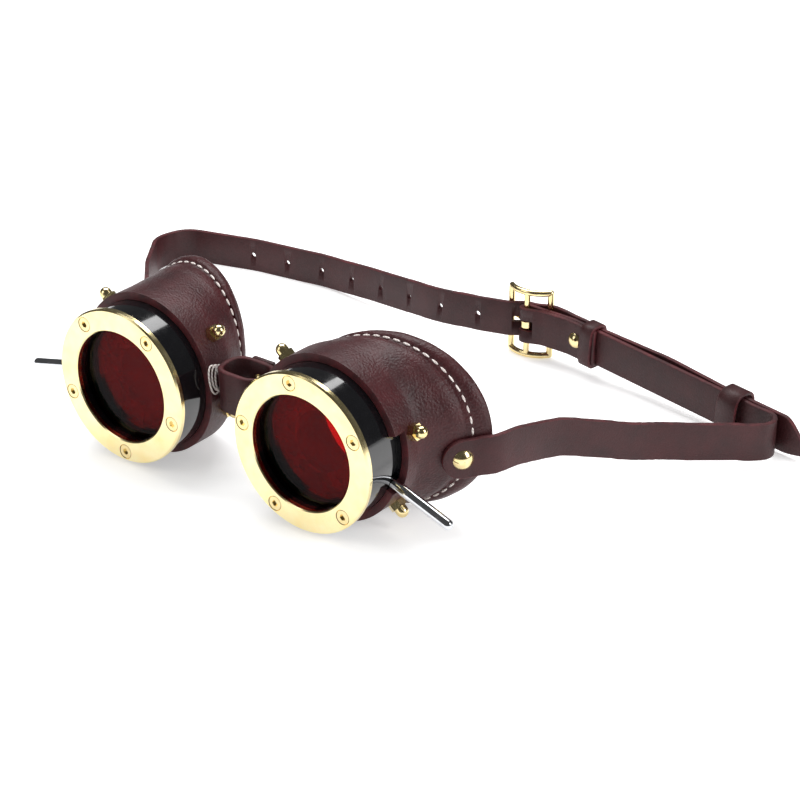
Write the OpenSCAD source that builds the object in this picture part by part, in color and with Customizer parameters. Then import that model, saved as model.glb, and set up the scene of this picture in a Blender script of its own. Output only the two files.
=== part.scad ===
/* [Bezels] */
// Distance between the two lens axes
lens_spacing = 85; // [84:0.5:100]
// Outer diameter of a bezel
bezel_d = 60; // [58:0.5:62]
// Clear opening in a bezel
opening_d = 43.2; // [38:0.2:44]
// Thickness of a bezel plate
bezel_t = 2.2; // [1.8:0.1:3]
// Screws round each bezel
bezel_screws = 5; // [4:1:8]
// Diameter of the circle that the bezel screws stand on
bezel_screw_circle_d = 52.4; // [52:0.1:52.8]
// Diameter of a bezel screw's head
bezel_screw_head_d = 5.2; // [4:0.1:5.6]
// Diameter of a bezel screw's thread
bezel_screw_d = 2.4; // [2:0.1:2.6]
// Angle of the first bezel screw on the right side
right_screw_angle = 99; // [0:1:360]
// Angle of the first bezel screw on the left side, counted outward as on the right
left_screw_angle = 52; // [0:1:360]

/* [Housings] */
// Outer diameter of a housing
housing_d = 57; // [56.4:0.1:57.6]
// Depth of a housing behind its bezel
housing_l = 24; // [23.6:0.1:27]
// Bore of a housing round the iris
housing_bore_d = 53.2; // [53:0.05:53.6]
// Thickness of the front lip that the lens seats on
lip_t = 2.2; // [1.6:0.1:3]

/* [Lenses] */
// Diameter of a lens
lens_d = 47; // [46:0.1:47.4]
// Thickness of a lens
lens_t = 2.2; // [1.6:0.1:3]
// Thickness of the ring that holds the lens
lens_ring_t = 2; // [1.2:0.1:3]
// Radial width of the ring that holds the lens
lens_ring_w = 2.6; // [1.5:0.1:3]

/* [Iris] */
// Blades in each iris
blades = 8; // [6:1:8]
// Diameter of the circle of blade pivots
pivot_circle_d = 46.4; // [46.2:0.1:46.6]
// Diameter of the open iris
open_d = 23; // [22:0.5:26]
// Thickness of a blade
blade_t = 0.2; // [0.15:0.01:0.22]
// Air between one blade and the next
blade_air = 0.1; // [0.08:0.01:0.15]
// Angle that a blade turns from open to shut
blade_turn = 25; // [20:1:26]
// Angle that the iris ring turns from open to shut
ring_turn = 30; // [26:1:32]
// Diameter of a blade's pivot pin
pivot_pin_d = 1.4; // [1:0.1:1.5]
// Diameter of a blade's drive pin
drive_pin_d = 1.2; // [1:0.1:1.4]
// Thickness of the pivot plate
pivot_plate_t = 1.5; // [1:0.1:2]
// Thickness of the iris ring's web
web_t = 2.2; // [2:0.1:2.6]
// Thickness of the ring at the back of the housing
back_ring_t = 1.6; // [1.2:0.1:1.8]

/* [Levers] */
// Diameter of a lever rod
lever_d = 4; // [3:0.1:4.4]
// Distance from the lens axis to the tip of the right rod
right_lever_reach = 55.5; // [50:1:66]
// Distance from the lens axis to the tip of the left rod
left_lever_reach = 65; // [50:1:66]
// Angle of the right rod at rest, above the horizontal
right_lever_rest = -20; // [-20:0.5:-12]
// Angle of the left rod at rest, above the horizontal
left_lever_rest = -13.5; // [-20:0.5:-12]

/* [Cup fasteners] */
// Diameter of a cup screw's thread
cup_screw_d = 3; // [2.5:0.1:3]
// Width across the flats of an acorn nut
nut_flats = 5.5; // [5:0.1:6]
// Height of an acorn nut
nut_h = 6.4; // [6:0.1:7]
// Angle of the upper outer nut, above the horizontal
right_upper_outer_nut = 15.5; // [14:0.5:30]
// Angle of the left cup's upper outer nut, degrees
left_upper_outer_nut = 37; // [18:0.5:40]
// Angle of the lower outer nut
lower_outer_nut = -43; // [-48:1:-34]
// Angle of the upper nut on the nose side
right_upper_inner_nut = 140; // [125:0.5:145]
// Angle of the left cup's upper inner nut, degrees
left_upper_inner_nut = 142; // [125:0.5:145]
// Angle of the lower nut on the nose side
lower_inner_nut = 195; // [190:1:205]

/* [Leather cups] */
// Thickness of the cup leather
leather_t = 2.9; // [2.4:0.1:3.2]
// Distance from the bezel's face to the front edge of the leather
leather_front = 15; // [14:0.1:16]
// Length of the round collar that grips the housing
collar_l = 12.2; // [12.2:0.1:13]
// Distance from the bezel's face to the middle of the right rear rim
right_rim_back = 42.3; // [42:0.1:50]
// Distance from the bezel's face to the middle of the left rear rim
left_rim_back = 47; // [42:0.5:50]
// How much further back the rim lies at the temple than at the middle
rim_slant = 5; // [2:0.5:6]
// How much further back the top of the right rim lies than its middle
right_rim_tilt = 2.2; // [0:0.1:6]
// How much further back the top of the left rim lies than its middle
left_rim_tilt = 5; // [0:0.1:6]
// Width of the right rear rim
right_rim_w = 70.5; // [54:0.5:76]
// Width of the left rear rim, which is pressed narrower
left_rim_w = 54; // [54:0.5:76]
// Height of the rear rim
rim_h = 61.6; // [60:0.2:62]
// How far the right rear rim is moved outward from the lens axis
right_rim_shift = 11; // [8:0.5:14]
// How far the left rear rim is moved outward from the lens axis
left_rim_shift = 3.7; // [0:0.1:14]
// Thickness of the leather folded over the rim
binding_t = 1.2; // [0.8:0.1:1.4]

/* [Strap] */
// Width of the strap
strap_w = 15; // [13:0.5:16]
// Thickness of the strap
strap_t = 1.8; // [1.4:0.1:2]
// Diameter of a punched hole
hole_d = 2.4; // [2:0.1:3]
// Distance between punched holes
hole_pitch = 18; // [15:0.5:20]
// Punched holes that lie open to the left of the buckle
open_holes = 8; // [5:1:8]
// Diameter of a strap rivet's head
rivet_head_d = 7.6; // [6:0.2:9]
// Diameter of the buckle rivet's head
buckle_rivet_head_d = 6.4; // [5:0.2:7]
// Height of a strap rivet above the surface that the goggles lie on
rivet_z = 27; // [25:0.5:30]

/* [Buckle] */
// Height of the buckle frame
buckle_h = 30; // [28:0.5:30]
// Distance between the two end bars of the frame
buckle_l = 17.4; // [17:0.1:18]
// Diameter of the frame's wire
wire_d = 2.6; // [2.2:0.1:2.7]
// Diameter of the bar that the strap folds round
bar_d = 2.4; // [2:0.1:2.4]
// How far the end bars bow outward from the middle bar
buckle_bow = 3.65; // [3.6:0.05:4]
// Diameter of the prong
prong_d = 1.6; // [1.2:0.1:1.6]

/* [Keepers] */
// Length of the fixed keeper along the strap
fixed_keeper_l = 6; // [5:0.5:7]
// Length of the sliding keeper along the strap
sliding_keeper_l = 9; // [7:0.5:11]
// From the sliding keeper's middle to where the strap's tail narrows
keeper_to_tail = 22.8; // [10:0.1:80]
// Thickness of the keeper leather
keeper_t = 1.4; // [1:0.1:1.4]

/* [Nose bridge] */
// Height of the bridge loop
bridge_h = 16; // [14:0.5:18]
// Depth of the bridge loop from front to back
bridge_depth = 17; // [14:0.5:18]
// Thickness of the bridge leather
bridge_t = 2; // [1.6:0.1:2.4]

/* [Hidden] */
$fn = 64;
eps = 0.01;

leather = "#3f1a20";
leather_edge = "#5e1c22";
brass = "#e8d9a0";
gold = "#d9b45a";
black = "#101012";
steel = "#c9ccd0";
blade_steel = "#4a3038";
lens_red = "#7c1418";

// Running clearance of the pieces that turn or slide on each other
running = 0.08;
// Clearance round a pin in a cam slot or a pin hole
pin_air = 0.1;
// Air between pieces that only pass by each other
passing = 0.3;

// Stations along a lens axis, counted back from the bezel's face
lip_front = bezel_t;
lens_front = lip_front + lip_t;
lens_back = lens_front + lens_t;
lens_ring_back = lens_back + lens_ring_t;
plate_front = lens_ring_back + 0.4;
plate_back = plate_front + pivot_plate_t;
blade_step = blade_t + blade_air;
blades_front = plate_back + passing;
blades_back = blades_front + blades * blade_step - blade_air;
web_front = blades_back + passing;
web_back = web_front + web_t;
lever_station = web_back + lever_d / 2;
iris_ring_back = web_back + lever_d;
back_ring_front = iris_ring_back + running;
back_ring_back = back_ring_front + back_ring_t;
housing_back = bezel_t + housing_l;
collar_end = leather_front + collar_l;

// Radii about a lens axis
housing_r = housing_d / 2;
bore_r = housing_bore_d / 2;
iris_ring_r = bore_r - running;
pivot_r = pivot_circle_d / 2;
leaf_outer_r = pivot_r - pivot_pin_d / 2 - 0.6;
leaf_inner_r = open_d / 2;
collar_r = housing_r + 0.1 + leather_t;
web_inner_r = leaf_inner_r + 1.5;
slot_r = drive_pin_d / 2 + pin_air;

lens_x = lens_spacing / 2;
lens_z = collar_r + 0.3;
rim_lift = rim_h / 2 + binding_t - lens_z + 0.7;

// A blade's pivot and drive pin in the open pose, for the blade on the outward axis
pivot_pin = [pivot_r, 0];
drive_pin_lag = 11;
drive_pin = (leaf_outer_r + drive_pin_d / 2 + 0.45) * [cos(drive_pin_lag), -sin(drive_pin_lag)];

function unit(v) = v / norm(v);
function mix(a, b, t) = a + (b - a) * t;
function turned(v, a) = [v[0] * cos(a) - v[1] * sin(a), v[0] * sin(a) + v[1] * cos(a)];
function plan(p) = [p[0], p[1]];

// Moves a piece so that the model's origin lies under the middle of the goggles
module placed() translate([0, -middle_y, 0]) children();

// Puts the right side's pieces on the right or, mirrored, on the left
module on_side(side) placed() mirror([side < 0 ? 1 : 0, 0, 0]) children();

// A frame on the lens axis: +X outward, +Z back, and turning upward is a negative angle
module on_axis(side) on_side(side) translate([lens_x, 0, lens_z]) rotate([-90, 0, 0]) children();

// Places a child on the lens axis's frame at an angle above the outward direction
module at_angle(a) rotate([0, 0, -a]) children();

module tube(r_out, r_in, from, to) {
  translate([0, 0, from]) difference() {
    cylinder(r = r_out, h = to - from);
    translate([0, 0, -1]) cylinder(r = r_in, h = to - from + 2);
  }
}

// Four cup screws with acorn nuts: two beside the lever and two beside the nose
function nut_angles(side) = [
  side > 0 ? right_upper_outer_nut : left_upper_outer_nut, lower_outer_nut,
  side > 0 ? right_upper_inner_nut : left_upper_inner_nut, lower_inner_nut
];
nut_station = mix(back_ring_back, housing_back, 0.5) + 0.2;

module bezel(side) {
  color(brass) on_axis(side) difference() {
    rotate_extrude($fn = 128) polygon([
      [opening_d / 2, 0.4], [opening_d / 2 + 0.4, 0], [bezel_d / 2 - 0.6, 0],
      [bezel_d / 2, 0.6], [bezel_d / 2, bezel_t], [opening_d / 2, bezel_t]
    ]);
    at_bezel_screws(side) {
      translate([0, 0, -1]) cylinder(d = bezel_screw_d + 0.4, h = bezel_t + 2);
      translate([0, 0, -1]) cylinder(d = bezel_screw_head_d + 0.6, h = 1 + bezel_t - 0.7);
    }
  }
}

module at_bezel_screws(side) {
  first = side > 0 ? right_screw_angle : left_screw_angle;
  for (i = [0 : bezel_screws - 1])
    at_angle(first + i * 360 / bezel_screws)
      translate([bezel_screw_circle_d / 2, 0, 0]) children();
}

module screw_group(side) {
  color(gold) on_axis(side) at_bezel_screws(side) difference() {
    union() {
      translate([0, 0, 0.1]) cylinder(d = bezel_screw_head_d, h = bezel_t - 0.8);
      translate([0, 0, 0.1]) cylinder(d = bezel_screw_d, h = bezel_t + 5.4);
    }
    translate([0, 0, -1]) cylinder(d = bezel_screw_head_d * 0.5, h = 1.9, $fn = 6);
  }
}

module housing(side) {
  color(black) on_axis(side) difference() {
    translate([0, 0, bezel_t]) cylinder(r = housing_r, h = housing_l, $fn = 128);
    translate([0, 0, -1]) cylinder(d = opening_d + 0.4, h = 40, $fn = 128);
    translate([0, 0, lens_front]) cylinder(d = lens_d + 0.1, h = 40, $fn = 128);
    translate([0, 0, plate_front]) cylinder(r = bore_r, h = 40, $fn = 128);
    at_bezel_screws(side) cylinder(d = bezel_screw_d, h = bezel_t + 5.6);
    lever_way(side, lever_air, lever_station - lever_d / 2 - lever_air, bore_r - 1, housing_r + 1);
    at_nuts(side) translate([0, 0, bore_r - 3]) cylinder(d = cup_screw_d + 0.1, h = 20);
  }
}

// The way that the lever sweeps, cut between two stations and two radii with some air all round
function lever_rest(side) = side > 0 ? right_lever_rest : left_lever_rest;
module lever_way(side, air, front, from, to) {
  margin = asin((lever_d / 2 + air) / from) + 0.5;
  at_angle(lever_rest(side) + ring_turn + margin) rotate_extrude(angle = ring_turn + 2 * margin, $fn = 128)
    translate([from, front]) square([to - from, lever_station + lever_d / 2 + air - front]);
}

lever_air = 0.35;

module lens(side) {
  color(lens_red, 0.6) on_axis(side) rotate_extrude($fn = 128) polygon([
    [0, lens_front], [lens_d / 2, lens_front], [lens_d / 2, lens_back - 0.3],
    [lens_d / 2 - 0.3, lens_back], [0, lens_back]
  ]);
}

module lens_ring(side) {
  color(black) on_axis(side) difference() {
    tube(lens_d / 2 + 0.05, lens_d / 2 - lens_ring_w, lens_back, lens_ring_back);
    for (a = [0, 180]) at_angle(a)
      translate([lens_d / 2 - lens_ring_w - 1, -1, lens_ring_back - 1]) cube([2.4, 2, 2]);
  }
}

module at_pivots() for (i = [0 : blades - 1]) rotate([0, 0, i * 360 / blades]) children();

module pivot_plate(side) {
  color(black) on_axis(side) difference() {
    tube(bore_r, leaf_outer_r - 1.2, plate_front, plate_back);
    at_pivots() translate([pivot_r, 0, plate_front - 1])
      cylinder(d = pivot_pin_d + 2 * running, h = pivot_plate_t + 2, $fn = 32);
  }
}

// One blade: a leaf that is an arc about the lens axis in the open pose, with its two pins
module blade(side, index) {
  station = blades_front + index * blade_step;
  if (index < blades)
    color(blade_steel) on_axis(side) rotate([0, 0, index * 360 / blades]) {
      translate([0, 0, station]) linear_extrude(blade_t) leaf();
      translate([pivot_r, 0, plate_front + 0.2])
        cylinder(d = pivot_pin_d, h = station - plate_front - 0.2 + eps, $fn = 32);
      translate([drive_pin[0], drive_pin[1], station + blade_t - eps])
        cylinder(d = drive_pin_d, h = web_front + 1.3 - station - blade_t + eps, $fn = 32);
    }
}

leaf_start = -5;
leaf_end = 112;

module leaf() {
  mid_r = (leaf_outer_r + leaf_inner_r) / 2;
  leaf_w = leaf_outer_r - leaf_inner_r;
  difference() {
    circle(r = leaf_outer_r, $fn = 128);
    circle(r = leaf_inner_r, $fn = 128);
    polygon([for (a = [leaf_end : 20 : 360 + leaf_start], r = [60]) r * [cos(a), sin(a)],
      60 * [cos(leaf_start), sin(leaf_start)], [0, 0]]);
  }
  translate(mid_r * [cos(leaf_end), sin(leaf_end)]) circle(d = leaf_w, $fn = 64);
  leaf_arm(pivot_pin, 1.5, leaf_outer_r - 1.2);
  leaf_arm(drive_pin, 1.15, leaf_outer_r - 1.2);
  arm = drive_pin - pivot_pin;
  translate(pivot_pin) rotate(atan2(arm[1], arm[0])) translate([0, -1.15]) square([norm(arm), 2.3]);
}

// A round boss on a pin, with a strut to the leaf
module leaf_arm(pin, r, seat) {
  translate(pin) circle(r = r, $fn = 48);
  rotate(max(atan2(pin[1], pin[0]), leaf_start + 3.2)) translate([seat, -r]) square([norm(pin) - seat, 2 * r]);
}

function drive_in_ring(t) =
  turned(pivot_pin + turned(drive_pin - pivot_pin, blade_turn * t), ring_turn * t);

module cam_slot() {
  steps = 12;
  path = [for (i = [0 : steps]) drive_in_ring(i / steps)];
  side_of = [for (i = [0 : steps]) let (d = unit(path[min(i + 1, steps)] - path[max(i - 1, 0)]))
    slot_r * [-d[1], d[0]]];
  linear_extrude(1.6) {
    polygon(concat([for (i = [0 : steps]) path[i] + side_of[i]],
      [for (i = [steps : -1 : 0]) path[i] - side_of[i]]));
    for (p = [path[0], path[steps]]) translate(p) circle(r = slot_r, $fn = 32);
  }
}

module iris_ring(side) {
  color(black) on_axis(side) difference() {
    rotate_extrude($fn = 128) polygon([
      [web_inner_r, web_front], [iris_ring_r, web_front], [iris_ring_r, iris_ring_back],
      [iris_ring_r - 5, iris_ring_back], [iris_ring_r - 5, web_back], [web_inner_r, web_back]
    ]);
    at_pivots() translate([0, 0, web_front - eps]) cam_slot();
    at_angle(lever_rest(side)) translate([iris_ring_r - 6, 0, lever_station])
      rotate([0, 90, 0]) cylinder(d = lever_d - 1.5, h = 8);
  }
}

module lever(side) {
  reach = side > 0 ? right_lever_reach : left_lever_reach;
  neck_r = iris_ring_r - 4.4;
  tip_r = lever_d / 2;
  color(steel) on_axis(side) at_angle(lever_rest(side)) translate([0, 0, lever_station]) rotate([0, 90, 0])
    rotate_extrude() difference() {
      union() {
        translate([0, neck_r]) square([(lever_d - 1.5) / 2, reach - neck_r - tip_r]);
        translate([0, iris_ring_r + 0.1]) square([lever_d / 2, reach - iris_ring_r - 0.1 - tip_r]);
        translate([0, reach - tip_r]) circle(r = tip_r);
      }
      translate([-lever_d, 0]) square([lever_d, reach + 1]);
    }
}

module back_ring(side) {
  color(black) on_axis(side) difference() {
    tube(bore_r, bore_r - 4.6, back_ring_front, back_ring_back);
    for (a = [0, 180]) at_angle(a + 60)
      translate([bore_r - 6, -1, back_ring_back - 1]) cube([3, 2, 2]);
  }
}

// A frame on each cup screw: +Z outward from the lens axis
module at_nuts(side) for (a = nut_angles(side)) at_angle(a) translate([0, 0, nut_station]) rotate([0, 90, 0]) children();

module cup_screw_group(side) {
  color(gold) on_axis(side) at_nuts(side) intersection() {
    union() {
      cylinder(d = cup_screw_d, h = collar_r + nut_h * 0.6);
      cylinder(d = cup_screw_d + 2, h = bore_r - 0.15);
    }
    translate([0, 0, bore_r - 1.6]) cylinder(r = 8, h = 30);
  }
}

module nut_group(side) {
  flat_h = nut_h * 0.4;
  dome_r = nut_flats * 0.42;
  color(gold) on_axis(side) at_nuts(side) translate([0, 0, collar_r]) difference() {
    union() {
      cylinder(d = nut_flats / cos(30), h = flat_h, $fn = 6);
      cylinder(r = dome_r, h = nut_h - dome_r);
      translate([0, 0, nut_h - dome_r]) sphere(r = dome_r);
    }
    translate([0, 0, -1]) cylinder(d = cup_screw_d, h = 1 + nut_h * 0.6);
  }
}

function rim_back(side) = side > 0 ? right_rim_back : left_rim_back;
function rim_shift(side) = side > 0 ? right_rim_shift : left_rim_shift;
function rim_tilt(side) = side > 0 ? right_rim_tilt : left_rim_tilt;
function rim_w(side) = side > 0 ? right_rim_w : left_rim_w;

// A point on a cup, with both cups on the right: u runs from -1 at the front edge to 0 at the collar's end and 1 at the
// rear rim, a is the angle above outward, and off is the distance out from the leather's outer face
function cup_point(side, u, a, off) =
  let (flare = max(u, 0))
  [
    lens_x + rim_shift(side) * flare + (mix(collar_r, rim_w(side) / 2, flare) + off) * cos(a),
    u <= 0 ? collar_end + u * collar_l
      : collar_end + u * (rim_back(side) + rim_slant * cos(a) + rim_tilt(side) * sin(a) - collar_end),
    lens_z + rim_lift * flare + (mix(collar_r, rim_h / 2, flare) + off) * sin(a)
  ];

// A closed ring whose cross-section is a list of [u, off] pairs
module cup_ring(side, section, around) {
  n = len(section);
  polyhedron(
    [for (i = [0 : around - 1], s = section) cup_point(side, s[0], i * 360 / around, s[1])],
    [for (i = [0 : around - 1], j = [0 : n - 1], k = [0, 1])
      let (i2 = (i + 1) % around, j2 = (j + 1) % n, a = i * n + j, b = i * n + j2, c = i2 * n + j2, d = i2 * n + j)
      k == 0 ? [a, b, c] : [a, c, d]]
  );
}

cup_steps = 9;
binding_step = 7;

module cup(side) {
  outside = concat([[-1, 0]], [for (i = [0 : cup_steps]) [i / cup_steps, 0]]);
  inside = [for (i = [len(outside) - 1 : -1 : 0]) [outside[i][0], -leather_t]];
  color(leather) difference() {
    on_side(side) cup_ring(side, concat(outside, inside), 72);
    on_axis(side) lever_way(side, 0.6, leather_front - 1, housing_r - 2, collar_r + 4);
    on_axis(side) at_nuts(side) translate([0, 0, bore_r - 3]) cylinder(d = cup_screw_d + 0.2, h = 20);
    placed() at_strap_rivet(side) translate([0, 0, -10]) cylinder(d = rivet_shank_d + 0.2, h = 20);
  }
}

module rim_binding(side) {
  under = -leather_t;
  binding_end = 1 + binding_t / (rim_back(side) - collar_end);
  fold = [for (i = [binding_step + 1 : cup_steps]) i / cup_steps];
  first = binding_step / cup_steps;
  lip = binding_end - 1;
  section = concat(
    [[first, 0.05], [first + 0.03, binding_t * 0.8]],
    [for (u = fold) [u, binding_t]],
    [[1 + lip * 0.8, 0], [binding_end, under / 2], [1 + lip * 0.8, under]],
    [for (i = [len(fold) - 1 : -1 : 0]) [fold[i], under - binding_t]],
    [[first + 0.03, under - binding_t * 0.8], [first, under - 0.05]],
    [for (u = fold) [u, under - 0.05]],
    [[1 + lip * 0.1, under - 0.05], [1 + lip * 0.1, 0.05]],
    [for (i = [len(fold) - 1 : -1 : 0]) [fold[i], 0.05]]
  );
  color(leather) on_side(side) cup_ring(side, section, 72);
}

// The straps start at a rivet half-way up each cup's flare and pass outside the rim
rivet_u = 0.57;
knee_u = 0.72;
rivet_angle = asin((rivet_z - lens_z - rim_lift * rivet_u) / mix(collar_r, rim_h / 2, rivet_u));
strap_lift = (strap_t / 2 + 0.7) * 1.2;
function rivet_seat(side) = cup_point(side, rivet_u, rivet_angle, strap_lift);
function strap_knee(side) = cup_point(side, knee_u, rivet_angle, strap_lift);
function rim_pass(side) = cup_point(side, 1, rivet_angle, (binding_t + strap_t / 2 + 1.5) * 1.2);
function strap_start(side) = unit(plan(strap_knee(side)) - plan(rivet_seat(side)));
rivet_bottom = rivet_z - strap_w / 2;
rivet_shank_d = 3;

// The straps are laid out in plan; each point of a route is [x, y, height of the lower edge, bend radius]
function edge(p, z, r) = [p[0], p[1], z, r];

// The buckle: its middle bar, and the direction of the strap through it
bar_at = [24, 166];
buckle_heading = 8;
bar_z = buckle_h / 2 + 0.2;
buckle_bottom = bar_z - strap_w / 2;
function at_bar(x, y) = bar_at + turned([x, y], buckle_heading);

// The straight run behind the buckle, on which the keepers sit
run_from = [44, 168.6];
run_to = [140, 153.4];
run_from_z = buckle_bottom - 0.6;
run_to_z = 1.8;
run_l = norm(run_to - run_from);
run_dir = unit(run_to - run_from);
run_heading = atan2(run_dir[1], run_dir[0]);
run_slope = atan2(run_from_z - run_to_z, run_l);
function on_run(s, off) = run_from + run_dir * s + off * [-run_dir[1], run_dir[0]];
function run_z(s) = mix(run_from_z, run_to_z, s / run_l);

fold_r = bar_d / 2 + 0.1 + strap_t / 2;
layer = strap_t / 2 + 0.05;
tail_off = strap_t + 0.4;
tongue_over = fold_r + strap_t + passing;
half_buckle = buckle_l / 2;
tail_over = buckle_bow + wire_d / 2 + 0.4 + strap_t / 2;
tongue_under = buckle_bow - wire_d / 2 - 0.45 - strap_t / 2;
flap_end = 14;

right_route = [
  edge(rivet_seat(1), rivet_bottom, 0),
  edge(strap_knee(1), rivet_bottom, 8),
  edge(rim_pass(1), rivet_bottom - 0.5, 12),
  [98, 74, 16.5, 40],
  [117, 108, 7, 60],
  edge(on_run(run_l + 13, 0), 1, 7),
  edge(on_run(0, 0), run_from_z, 15),
  edge(at_bar(7, layer), buckle_bottom, 10),
  edge(at_bar(1.2, fold_r), buckle_bottom, 3),
  edge(at_bar(-fold_r, fold_r), buckle_bottom, fold_r * 0.95),
  edge(at_bar(-fold_r, -fold_r), buckle_bottom, fold_r * 0.95),
  edge(at_bar(1.2, -fold_r), buckle_bottom, 3),
  edge(at_bar(7, -layer), buckle_bottom, 10),
  edge(on_run(0, -2 * layer), run_from_z, 13),
  edge(on_run(flap_end, -2 * layer), run_z(flap_end), 0)
];

function mirrored(p) = [-p[0], p[1], p[2]];

// The tail ends as far to the right as the strap's corner reaches to the left
half_width = 158.2;
tail_s = (half_width - on_run(0, tail_off)[0]) / run_dir[0] - strap_w * 0.7;

left_route = [
  edge(mirrored(rivet_seat(-1)), rivet_bottom, 0),
  edge(mirrored(strap_knee(-1)), rivet_bottom, 8),
  edge(mirrored(rim_pass(-1)), rivet_bottom - 1.5, 12),
  [-101, 76, 14, 40],
  [-136, 113, 4, 60],
  [-158.4, 142, 0, 14],
  [-155, 158, 0, 9],
  [-121, 167.3, 0, 60],
  [-85, 171.5, 0.2, 60],
  [-58, 168.5, 2.4, 60],
  [-18, 161, 6.5, 60],
  [3, 162.6, buckle_bottom, 20],
  edge(at_bar(-half_buckle, tongue_under), buckle_bottom, 8),
  edge(at_bar(-2.6, tongue_over), buckle_bottom, 5),
  edge(at_bar(2.6, tongue_over), buckle_bottom, 8),
  edge(at_bar(half_buckle, tail_over), buckle_bottom, 8),
  edge(on_run(4, tail_off + 0.9), run_z(4), 14),
  edge(on_run(12, tail_off), run_z(12), 40),
  edge(on_run(tail_s, tail_off), run_z(tail_s), 0)
];

// A bend at b on the way from a to c, as points a few degrees apart
function bend(a, b, c) =
  let (
    in_dir = unit(plan(b) - plan(a)),
    out_dir = unit(plan(c) - plan(b)),
    turn = atan2(in_dir[0] * out_dir[1] - in_dir[1] * out_dir[0], in_dir * out_dir),
    reach = b[3] * tan(abs(turn) / 2),
    n = max(1, ceil(abs(turn) / 9)),
    hub = plan(b) - in_dir * reach + sign(turn) * b[3] * [-in_dir[1], in_dir[0]],
    spoke = sign(turn) * b[3] * [in_dir[1], -in_dir[0]],
    z_in = mix(b[2], a[2], reach / norm(plan(a) - plan(b))),
    z_out = mix(b[2], c[2], reach / norm(plan(c) - plan(b)))
  )
  [for (i = [0 : n]) let (p = hub + turned(spoke, turn * i / n)) [p[0], p[1], mix(z_in, z_out, i / n)]];

function smooth(route) = concat(
  [route[0]],
  [for (i = [1 : len(route) - 2], p = bend(route[i - 1], route[i], route[i + 1])) p],
  [route[len(route) - 1]]
);

// A strap on edge: each station is [x, y, height of its lower edge, height of its upper edge]
module ribbon(line, t) {
  n = len(line);
  across = [for (i = [0 : n - 1])
    let (d = unit(plan(line[min(i + 1, n - 1)]) - plan(line[max(i - 1, 0)]))) t / 2 * [-d[1], d[0]]];
  corners = [for (i = [0 : n - 1], c = [[1, 2], [1, 3], [-1, 3], [-1, 2]])
    [line[i][0] + c[0] * across[i][0], line[i][1] + c[0] * across[i][1], line[i][c[1]]]];
  polyhedron(corners, concat(
    [[3, 2, 1], [3, 1, 0]],
    [for (i = [0 : n - 2], j = [0 : 3], k = [0, 1])
      let (a = 4 * i + j, b = 4 * i + (j + 1) % 4) k == 0 ? [a, b, b + 4] : [a, b + 4, a + 4]],
    [[4 * n - 4, 4 * n - 3, 4 * n - 2], [4 * n - 4, 4 * n - 2, 4 * n - 1]]
  ));
}

function full_width(line) = [for (p = line) [p[0], p[1], p[2], p[2] + strap_w]];

// The half-round end of a strap before a point, where dir leads into the strap
function round_end(p, dir) = [for (a = [15 : 15 : 75]) let (q = plan(p) - dir * strap_w / 2 * cos(a))
  [q[0], q[1], p[2] + strap_w / 2 * (1 - sin(a)), p[2] + strap_w / 2 * (1 + sin(a))]];

// The pointed end of a strap after a point, where dir leads out of the strap
function pointed_end(p, dir) = [for (k = [0.25 : 0.25 : 1]) let (q = plan(p) + dir * strap_w * 0.7 * k)
  [q[0], q[1], p[2] + strap_w / 2 * pow(k, 1.8) * 0.86, p[2] + strap_w * (1 - pow(k, 1.8) * 0.43)]];

// Frame on a strap rivet: +Z outward along the rivet
module at_strap_rivet(side) {
  seat = rivet_seat(side);
  start = strap_start(side);
  mirror([side < 0 ? 1 : 0, 0, 0]) translate([seat[0], seat[1], rivet_z])
    rotate([0, 0, atan2(start[1], start[0]) - 90]) rotate([0, 90, 0]) children();
}

// Frame on the straight run: +X along the strap, +Y away from the head, +Z up
module at_run(s) translate([on_run(s, 0)[0], on_run(s, 0)[1], run_z(s) + strap_w / 2])
  rotate([0, 0, run_heading]) rotate([0, run_slope, 0]) children();

module at_buckle() translate([bar_at[0], bar_at[1], bar_z]) rotate([0, 0, buckle_heading]) children();

buckle_rivet_s = 4;
prong_slot_h = 4.4;

module right_strap() {
  color(leather) placed() difference() {
    ribbon(concat(round_end(right_route[0], strap_start(1)), full_width(smooth(right_route))), strap_t);
    at_strap_rivet(1) translate([0, 0, -5]) cylinder(d = rivet_shank_d, h = 10);
    at_buckle() translate([-5, -5, -prong_slot_h / 2]) cube([8.6, 10, prong_slot_h]);
    at_run(buckle_rivet_s) rotate([90, 0, 0]) translate([0, 0, -5]) cylinder(d = rivet_shank_d, h = 10);
  }
}

left_line = smooth(left_route);
function run_length(line, i) = i == 0 ? 0 : run_length(line, i - 1) + norm(plan(line[i]) - plan(line[i - 1]));
left_lengths = [for (i = [0 : len(left_line) - 1]) run_length(left_line, i)];
function stretch_at(s) = [for (i = [0 : len(left_line) - 2]) if (left_lengths[i] <= s && s < left_lengths[i + 1]) i][0];

// Frame on the left strap at a distance along it: +Z through the strap
module on_left_strap(s) {
  i = stretch_at(s);
  a = left_line[i];
  b = left_line[i + 1];
  p = mix([a[0], a[1], a[2]], [b[0], b[1], b[2]], (s - left_lengths[i]) / (left_lengths[i + 1] - left_lengths[i]));
  translate([p[0], p[1], p[2] + strap_w / 2])
    rotate([0, 0, atan2(b[1] - a[1], b[0] - a[0])]) rotate([90, 0, 0]) children();
}

// Where the prong passes the strap, and the distance along the strap to that place
tongue_line = [for (i = [0 : len(left_line) - 1]) if (norm(plan(left_line[i]) - bar_at) < half_buckle * 0.75) i];
prong_hole_s = left_lengths[tongue_line[0]] + 1.2;

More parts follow.
